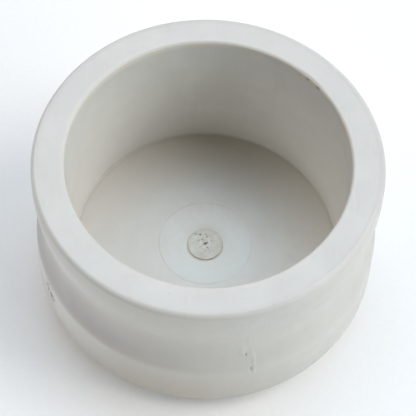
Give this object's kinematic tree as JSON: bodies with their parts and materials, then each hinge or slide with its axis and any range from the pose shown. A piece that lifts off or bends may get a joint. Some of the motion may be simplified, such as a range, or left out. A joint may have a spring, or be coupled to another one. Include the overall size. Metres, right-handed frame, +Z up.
{
  "type": "pipe cap",
  "caption": "Round socket end cap: a thick-walled plastic cup with a flat rim, shallow waist and closed end, glued over the end of a pressure pipe.",
  "frame": {"origin": "centre of the flat underside of the closed end", "axes": "+Z up along the socket's axis, out of the mouth; the part is round, and only the gate stub, 0.5 mm off the axis towards -Y, tells one side from another"},
  "size_m": [0.08, 0.0801, 0.044],
  "materials": {
    "cap_plastic": "satin moulded, light grey",
    "gate_plastic": "rough torn and trimmed, beige grey"
  },
  "bodies": {
    "root": {"cap_body": "cap_plastic", "gate_stub": "gate_plastic"}
  },
  "joints": []
}
